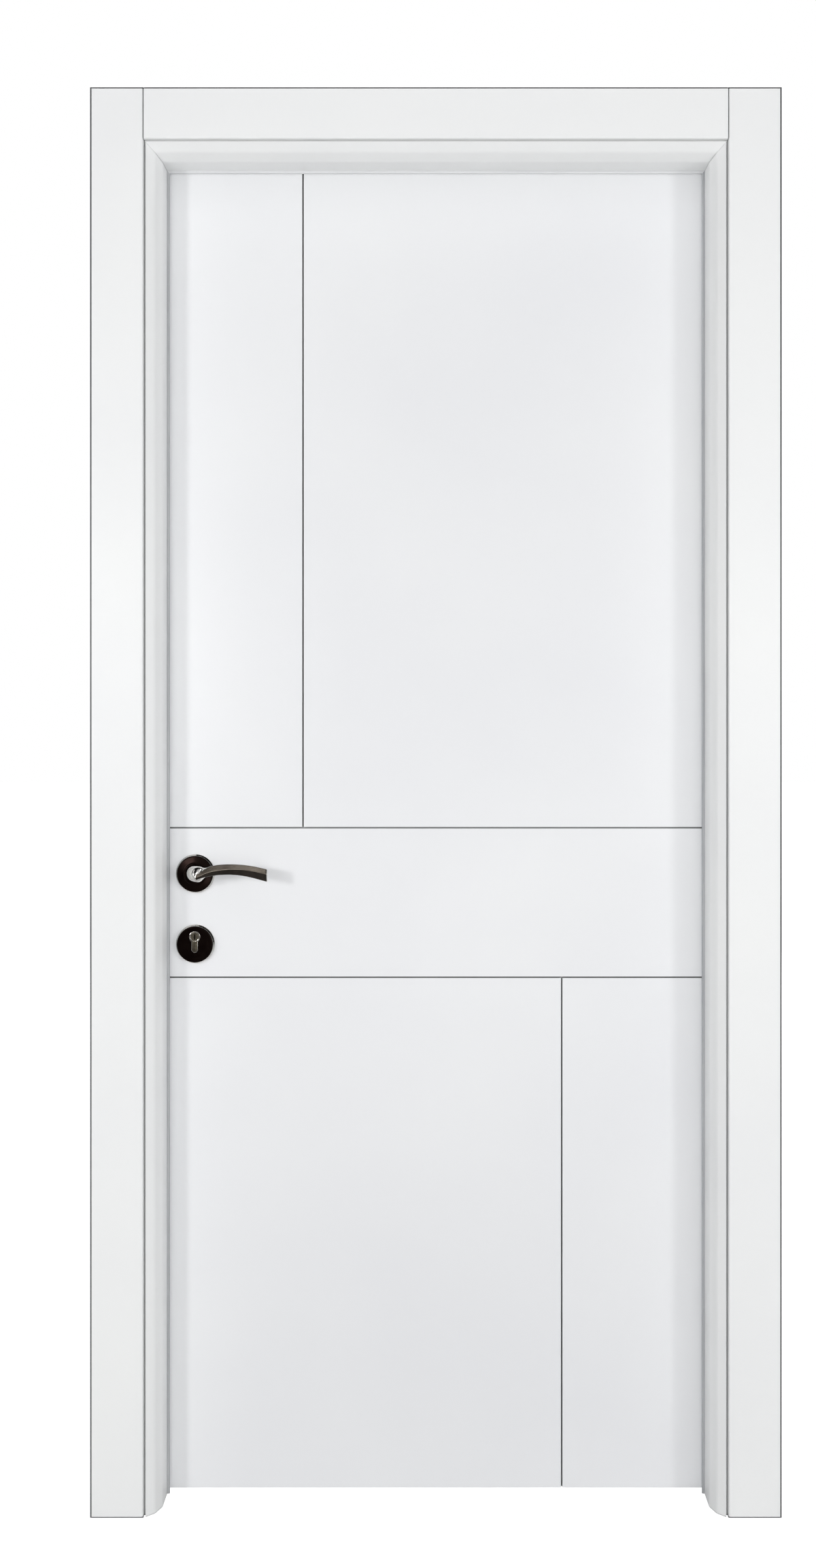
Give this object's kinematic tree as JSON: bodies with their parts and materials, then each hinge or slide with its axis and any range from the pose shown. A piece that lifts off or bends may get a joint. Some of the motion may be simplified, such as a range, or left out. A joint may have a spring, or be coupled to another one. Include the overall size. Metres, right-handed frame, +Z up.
{
  "type": "interior door set",
  "caption": "White lacquered interior door set: a flush leaf with engraved lines, hung on butt hinges in a rebated frame with casings on both sides, and a lever handle on round roses.",
  "frame": {"origin": "on the hinge jamb's wall face, at floor level, midway through the wall", "axes": "+X out of the hinge jamb into the wall, +Y towards the side that the leaf opens to, +Z up"},
  "size_m": [1.039, 0.1735, 2.15],
  "materials": {
    "frame_lacquer": "white satin lacquer on fibreboard",
    "leaf_lacquer": "white satin lacquer on fibreboard",
    "door_seal": "pale grey extruded seal",
    "satin_nickel": "satin nickel plate",
    "bright_nickel": "polished nickel plate",
    "black_nickel": "polished black-brown",
    "dark_nickel": "polished dark nickel"
  },
  "bodies": {
    "frame": {"lock_jamb": "frame_lacquer", "hinge_jamb": "frame_lacquer", "head_jamb": "frame_lacquer", "lock_side_seal": "door_seal", "hinge_side_seal": "door_seal", "head_seal": "door_seal", "front_casing_lock_side": "frame_lacquer", "front_casing_hinge_side": "frame_lacquer", "front_casing_head": "frame_lacquer", "back_casing_lock_side": "frame_lacquer", "back_casing_hinge_side": "frame_lacquer", "back_casing_head": "frame_lacquer", "strike_plate": "satin_nickel", "bottom_hinge_frame_half": "satin_nickel", "middle_hinge_frame_half": "satin_nickel", "top_hinge_frame_half": "satin_nickel", "bottom_hinge_pin": "satin_nickel", "middle_hinge_pin": "satin_nickel", "top_hinge_pin": "satin_nickel"},
    "leaf": {"leaf_front_skin": "leaf_lacquer", "leaf_back_skin": "leaf_lacquer", "lock_stile": "leaf_lacquer", "hinge_stile": "leaf_lacquer", "top_rail": "leaf_lacquer", "bottom_rail": "leaf_lacquer", "mortise_lock": "satin_nickel", "latch_bolt": "satin_nickel", "dead_bolt": "satin_nickel", "key_cylinder": "bright_nickel", "front_key_plug": "bright_nickel", "back_key_plug": "bright_nickel", "front_lever_rose_rim": "bright_nickel", "front_lever_rose": "black_nickel", "front_key_escutcheon_rim": "bright_nickel", "front_key_escutcheon": "black_nickel", "back_lever_rose_rim": "bright_nickel", "back_lever_rose": "black_nickel", "back_key_escutcheon_rim": "bright_nickel", "back_key_escutcheon": "black_nickel", "bottom_hinge_leaf_half": "satin_nickel", "middle_hinge_leaf_half": "satin_nickel", "top_hinge_leaf_half": "satin_nickel"},
    "lever_set": {"front_lever": "dark_nickel", "back_lever": "dark_nickel", "spindle": "satin_nickel"}
  },
  "joints": [
    {"name": "door_swing", "type": "hinge", "parent": "frame", "child": "leaf", "pos_m": [-0.0275, 0.059, 0], "axis": [0, 0, -1], "range_deg": [0, 170]},
    {"name": "lever_turn", "type": "hinge", "parent": "leaf", "child": "lever_set", "pos_m": [-0.825, 0.03, 0.96], "axis": [0, 1, 0], "range_deg": [0, 40], "stiffness_Nm_per_rad": 2, "springref_deg": -22.92}
  ]
}
